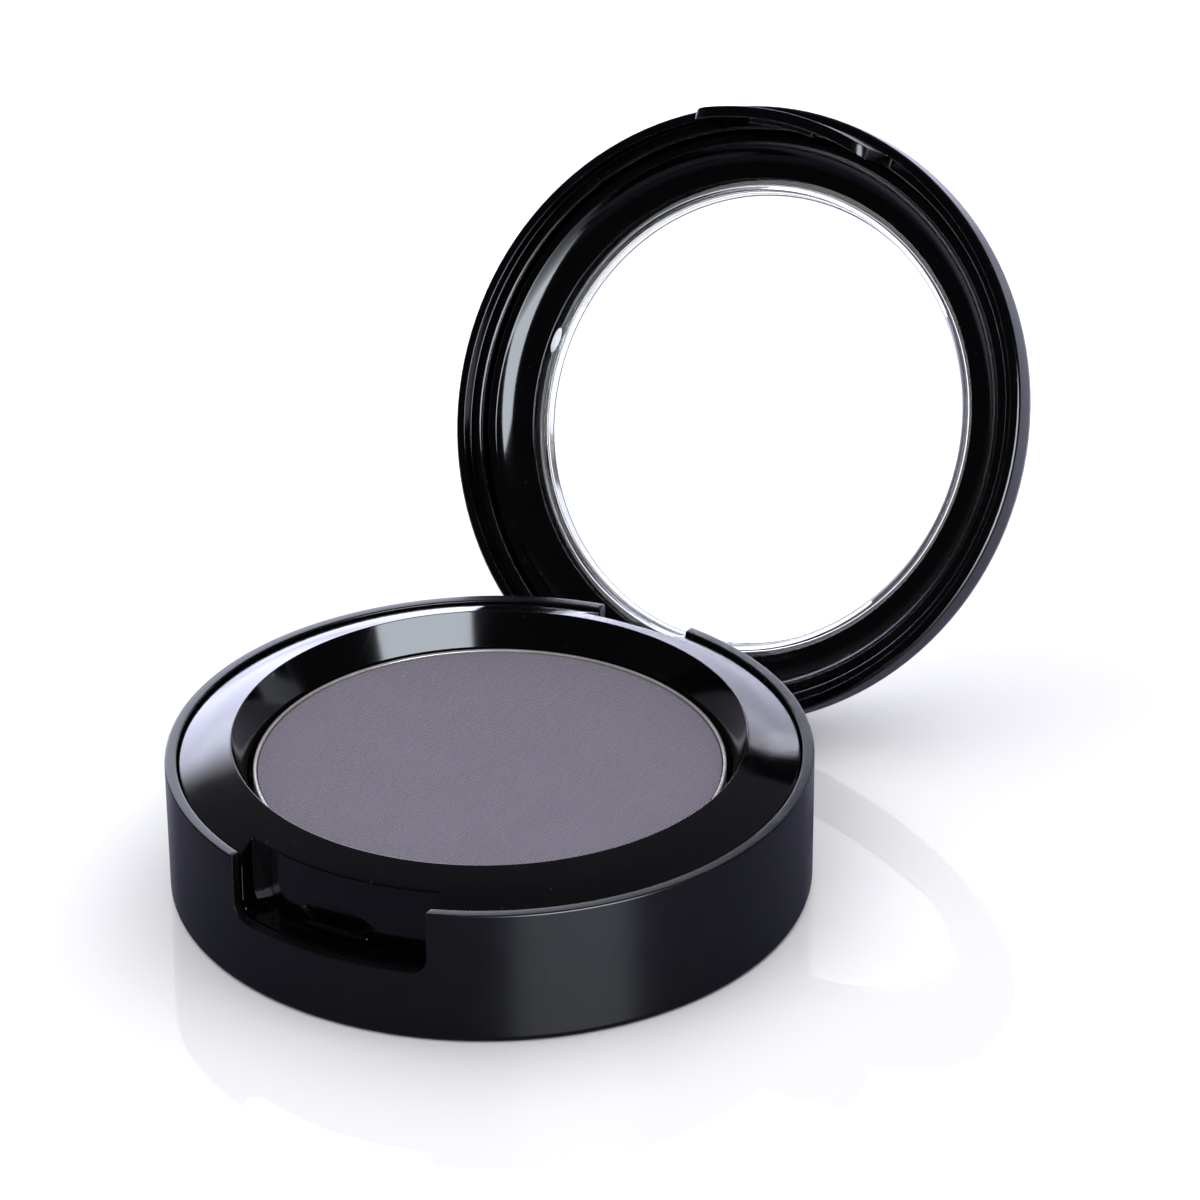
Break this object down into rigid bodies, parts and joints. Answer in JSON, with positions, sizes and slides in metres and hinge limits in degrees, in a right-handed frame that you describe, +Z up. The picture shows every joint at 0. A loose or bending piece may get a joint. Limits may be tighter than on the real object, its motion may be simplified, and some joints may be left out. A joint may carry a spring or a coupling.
{
  "type": "powder compact",
  "caption": "Round black pressed-powder compact with a metal powder pan in a gloss tray, a finger notch and a hinged ring lid with a clear window.",
  "frame": {"origin": "centre of the base's round underside, on the surface that the compact stands on", "axes": "+Z up; the finger notch faces -Y; the hinge pin lies along X on the +Y side"},
  "size_m": [0.06, 0.0946, 0.0557],
  "materials": {
    "satin_black_plastic": "satin",
    "gloss_black_plastic": "gloss",
    "white_label": "matte",
    "pan_metal": "satin",
    "grey_powder": "pressed powder, fully matte",
    "clear_adhesive": "tacky",
    "pin_steel": "drawn wire",
    "clear_plastic": "clear, polished"
  },
  "bodies": {
    "base": {"base_shell": "satin_black_plastic", "base_tray": "gloss_black_plastic", "base_label": "white_label", "powder_pan": "pan_metal", "pressed_powder": "grey_powder", "pan_adhesive": "clear_adhesive", "hinge_pin": "pin_steel"},
    "lid": {"lid_shell": "satin_black_plastic", "lid_liner": "gloss_black_plastic", "lid_window": "clear_plastic"}
  },
  "joints": [
    {"name": "lid_hinge", "type": "hinge", "parent": "base", "child": "lid", "pos_m": [0, 0.0272, 0.0073], "axis": [1, 0, 0], "range_deg": [0, 120]}
  ]
}
